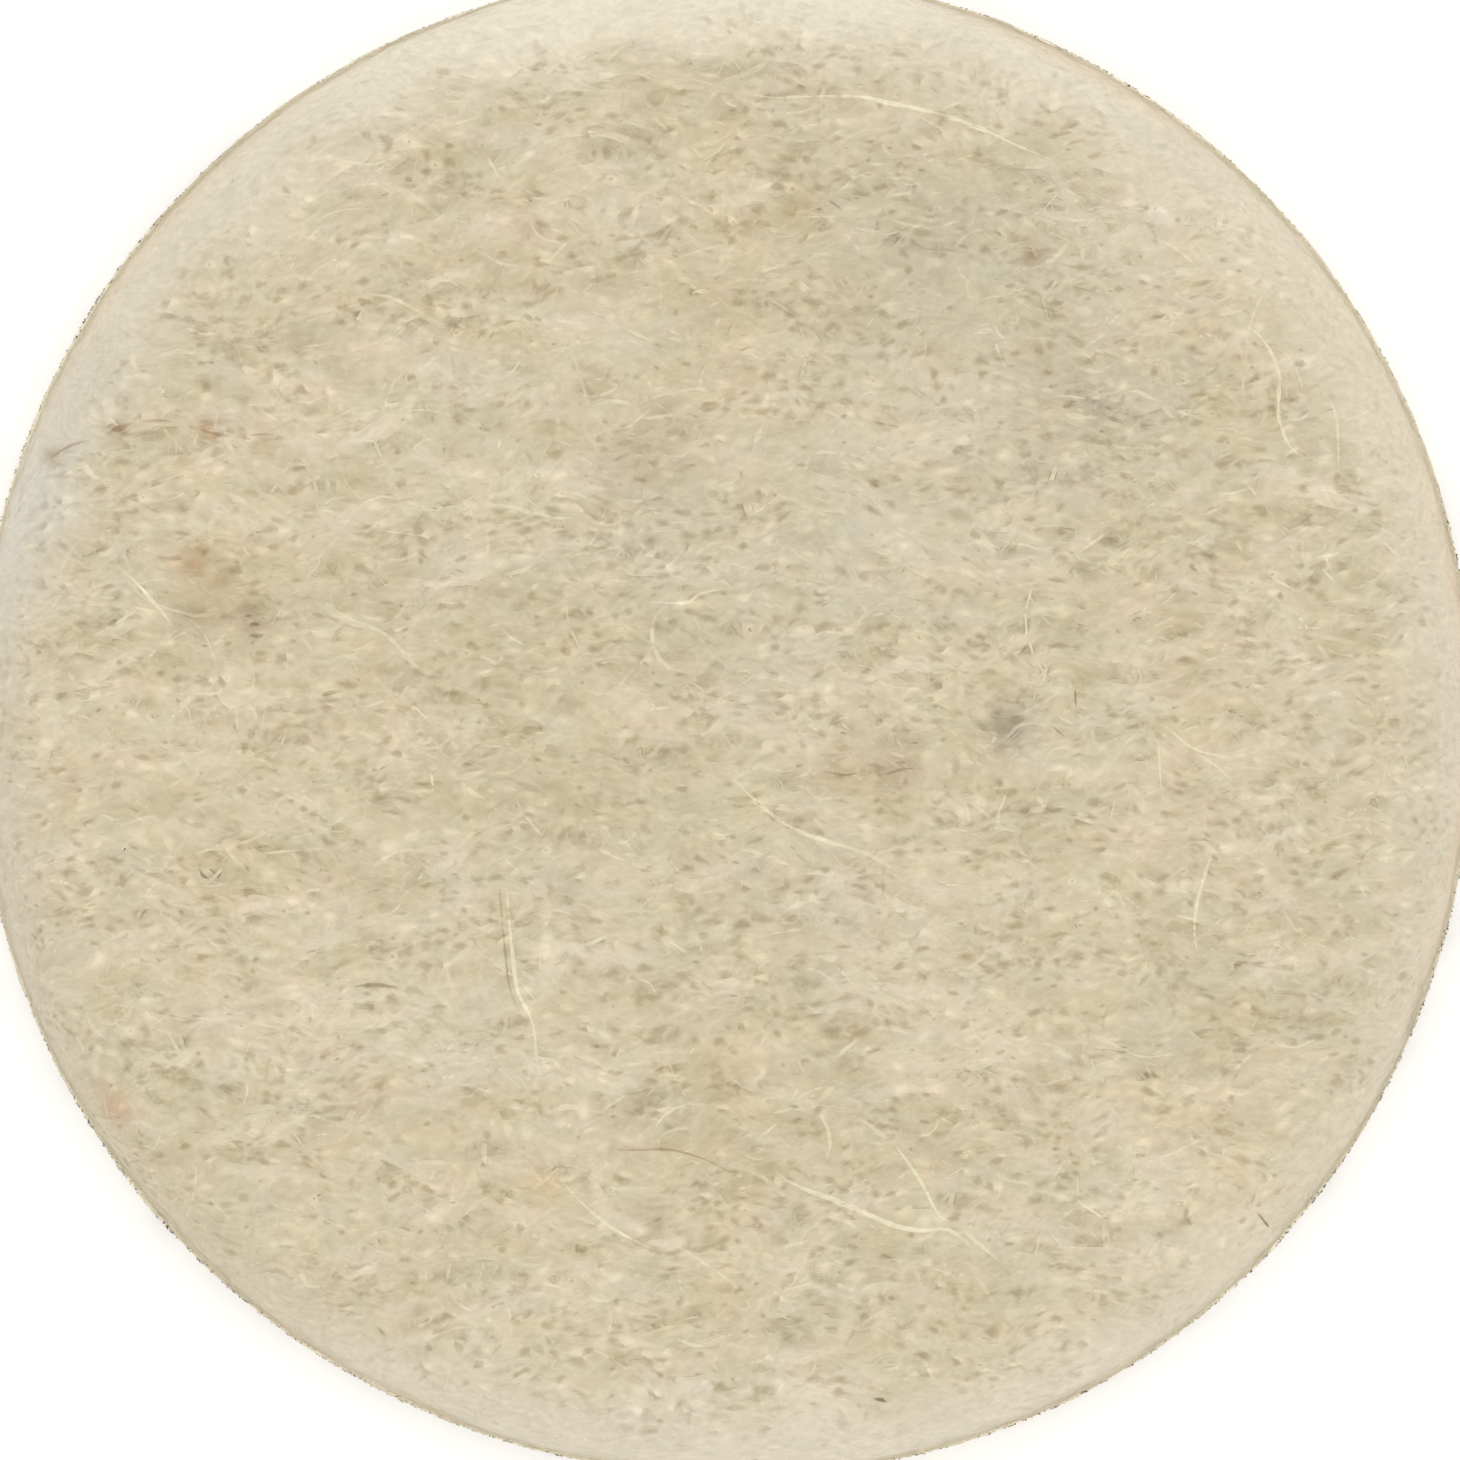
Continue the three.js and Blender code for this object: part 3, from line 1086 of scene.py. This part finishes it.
def maths(tree, operation, *values):
    inputs = dict(enumerate(values))
    return node(tree, "ShaderNodeMath", inputs, operation=operation).outputs[0]


def vector_maths(tree, operation, *values, **named):
    inputs = {**dict(enumerate(values)), **named}
    return node(tree, "ShaderNodeVectorMath", inputs, operation=operation).outputs[0]


SPECULAR = 0.2


def shader(name, roughness, sheen):
    material = bpy.data.materials.new(name)
    material.use_nodes = True
    surface = material.node_tree.nodes["Principled BSDF"]
    looks = {"Roughness": roughness, "Specular IOR Level": SPECULAR, "Sheen Weight": sheen}
    for key, value in looks.items():
        surface.inputs[key].default_value = value
    return material, material.node_tree, surface


def felt_places(tree):
    """Places in mm, and the same bent by swirls as the fibres lie."""
    place = node(tree, "ShaderNodeTexCoord").outputs["Object"]
    place = vector_maths(tree, "SCALE", place, Scale=1 / MM)
    swirl = node(tree, "ShaderNodeTexNoise", {"Vector": place, "Scale": 0.7, "Detail": 1.5})
    centred = vector_maths(tree, "SUBTRACT", swirl.outputs["Color"], (0.5, 0.5, 0.5))
    return place, vector_maths(tree, "ADD", place, vector_maths(tree, "SCALE", centred, Scale=0.8))


def cloud(tree, place, size, stretch, turn, detail):
    """Noise about size mm across, drawn out along X."""
    mapping = {"Vector": place, "Rotation": (0, 0, turn), "Scale": (1 / stretch, 1, 1.5)}
    drawn = node(tree, "ShaderNodeMapping", mapping).outputs[0]
    field = {"Vector": drawn, "Scale": 1 / size, "Detail": detail}
    return node(tree, "ShaderNodeTexNoise", field).outputs["Fac"]


def fade(tree, value, low, high, bottom, top):
    """A smooth step of a value between low and high, from bottom to top."""
    ends = {"Value": value, "From Min": low, "From Max": high, "To Min": bottom, "To Max": top}
    return node(tree, "ShaderNodeMapRange", ends, interpolation_type="SMOOTHSTEP").outputs[0]


def off_centre(tree, field):
    """How far a field of noise is from its middle value."""
    return maths(tree, "ABSOLUTE", maths(tree, "SUBTRACT", field, 0.5))


def specks(tree, place, group, ragged, size, reach):
    """Soft ragged specks of uneven size: dark ones in loose groups, painted shade of small pits
    with browner wool in them, and light ones.
    """
    drawn = node(tree, "ShaderNodeMapping", {"Vector": place, "Scale": (0.55, 1, 1.5)}).outputs[0]
    grid = {"Vector": drawn, "Scale": 1 / size, "Randomness": 1.0}
    cells = node(tree, "ShaderNodeTexVoronoi", grid)
    own = node(tree, "ShaderNodeSeparateColor", {"Color": cells.outputs["Color"]}).outputs[0]
    chance = maths(tree, "MULTIPLY_ADD", group, 1.5, own)
    dark_reach = fade(tree, chance, 1.0, 1.75, 0.0, reach)
    light_reach = fade(tree, own, 0.36, 0.1, 0.0, reach)
    away = maths(tree, "MULTIPLY_ADD", ragged, 0.9, cells.outputs["Distance"])
    away = maths(tree, "SUBTRACT", away, 0.45)
    return fade(tree, away, dark_reach, 0.0, 0.0, 1.0), fade(tree, away, light_reach, 0.0, 0.0, 1.0)


def weighted(tree, total, parts):
    """A number plus the sum of sockets, each times its weight."""
    for socket, weight in parts:
        total = maths(tree, "MULTIPLY_ADD", socket, weight, total)
    return total


# Darker and browner: painted shade in the holes between strands and in the dark specks, which are
# partly browner wool
SHADE_AND_BROWN = (0.74, 0.7, 0.63)
SPECK_SHARE = 0.85
HOLE_SHADE_SHARE = 0.25
THREAD_SHADE = 0.05
FINE_SHADE = 0.2
LIGHT_SHADE = 0.2
WOOL_SHEEN = 0.06
GRAIN = 0.03 * MM


def wool_material(name, roughness, relief):
    """Matted wool: the mesh's own colours, with specks, threads and grain, and painted shade in the
    holes between strands.
    """
    material, tree, surface = shader(name, roughness, WOOL_SHEEN)
    color = node(tree, "ShaderNodeAttribute", attribute_name="wool").outputs["Color"]
    place, bent = felt_places(tree)
    fine = cloud(tree, bent, 0.11, 1.5, 0.0, 1)
    group = cloud(tree, bent, 0.9, 2.0, 0.0, 0)
    strands = off_centre(tree, cloud(tree, bent, 0.2, 1.9, 0.12, 1.2))
    thread = fade(tree, strands, 0.0, 0.06, 1.0, 0.0)
    hole = fade(tree, strands, 0.07, 0.2, 0.0, 1.0)
    hole = maths(tree, "MULTIPLY", hole, fade(tree, group, 0.35, 0.65, 0.5, 1.0))
    dark, light = specks(tree, bent, group, fine, 0.18, 0.7)
    # Painted shade of the holes and dark specks, partly browner wool
    brown = weighted(tree, 0.0, [(hole, HOLE_SHADE_SHARE), (dark, SPECK_SHARE)])
    opened = node(tree, "ShaderNodeAttribute", attribute_name="open").outputs["Fac"]
    brown = maths(tree, "MULTIPLY", brown, opened)
    mix = {0: brown, "A": color, "B": vector_maths(tree, "MULTIPLY", color, SHADE_AND_BROWN)}
    color = node(tree, "ShaderNodeMix", mix, data_type="RGBA").outputs[2]
    light = maths(tree, "MULTIPLY", light, opened)
    shades = [(thread, THREAD_SHADE), (fine, FINE_SHADE), (light, LIGHT_SHADE)]
    shade = weighted(tree, 1 - FINE_SHADE / 2, shades)
    color = vector_maths(tree, "MULTIPLY", color, shade)
    grain = {"Height": cloud(tree, place, 0.16, 2.2, 0.0, 1), "Strength": relief, "Distance": GRAIN}
    bump = node(tree, "ShaderNodeBump", grain)
    tree.links.new(color, surface.inputs["Base Color"])
    tree.links.new(bump.outputs[0], surface.inputs["Normal"])
    return material


# The setting


def camera():
    data = bpy.data.cameras.new("camera")
    data.sensor_width = 36
    data.lens = data.sensor_width * CAMERA_DISTANCE / (PHOTO_SIDE * MM_PER_PX)
    data.clip_start, data.clip_end = 0.01, 3
    made = placed("camera", data)
    aside = (PHOTO_SIDE / 2 - PAD_MIDDLE[0]) * MM_PER_PX
    back = (PAD_MIDDLE[1] - PHOTO_SIDE / 2) * MM_PER_PX
    made.location = (aside * MM, back * MM, CAMERA_DISTANCE * MM)
    bpy.context.scene.camera = made


FLOOR_HALF = 2.0
FLOOR_WHITE = (0.96, 0.96, 0.96, 1)


def floor():
    mesh = bpy.data.meshes.new("floor")
    corners = [(x * FLOOR_HALF, y * FLOOR_HALF, 0) for x, y in ((-1, -1), (1, -1), (1, 1), (-1, 1))]
    mesh.from_pydata(corners, [], [(0, 1, 2, 3)])
    made = placed("floor", mesh)
    material, _, surface = shader("pale_floor", 0.9, 0)
    surface.inputs["Base Color"].default_value = FLOOR_WHITE
    surface.inputs["Specular IOR Level"].default_value = 0
    mesh.materials.append(material)


SKY = 0.755
LAMPS = {
    "overhead": (1.48, 40, 0, 90),
    "key": (0.28, 50, 75, 76),
}


def lights():
    """An even sky with lamps given as strength, softness, heading and height in degrees."""
    world = bpy.data.worlds.new("soft_room")
    bpy.context.scene.world = world
    world.use_nodes = True
    sky = world.node_tree.nodes["Background"].inputs
    sky["Color"].default_value = (1, 1, 1, 1)
    sky["Strength"].default_value = SKY
    for name, (strength, softness, heading, height) in LAMPS.items():
        data = bpy.data.lights.new(name, "SUN")
        data.energy = strength
        data.angle = math.radians(softness)
        made = placed(name, data)
        made.rotation_euler = (0, math.radians(90 - height), math.radians(heading))


felt = felt_body()
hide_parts("felt_pad")
fibre = wool_material("wool_fibre", roughness=0.85, relief=0.2)
for piece_name, kind in FACE_FIBRES.items():
    face_fibres(piece_name, fibre, **kind)
wall_fibres("wall_fibres", fibre)
edge_ends("edge_ends", fibre)
underside_fibres("underside_fibres", fibre)
long_hairs("long_hairs", fibre)
camera()
floor()
lights()
bpy.context.scene.view_settings.view_transform = "Standard"
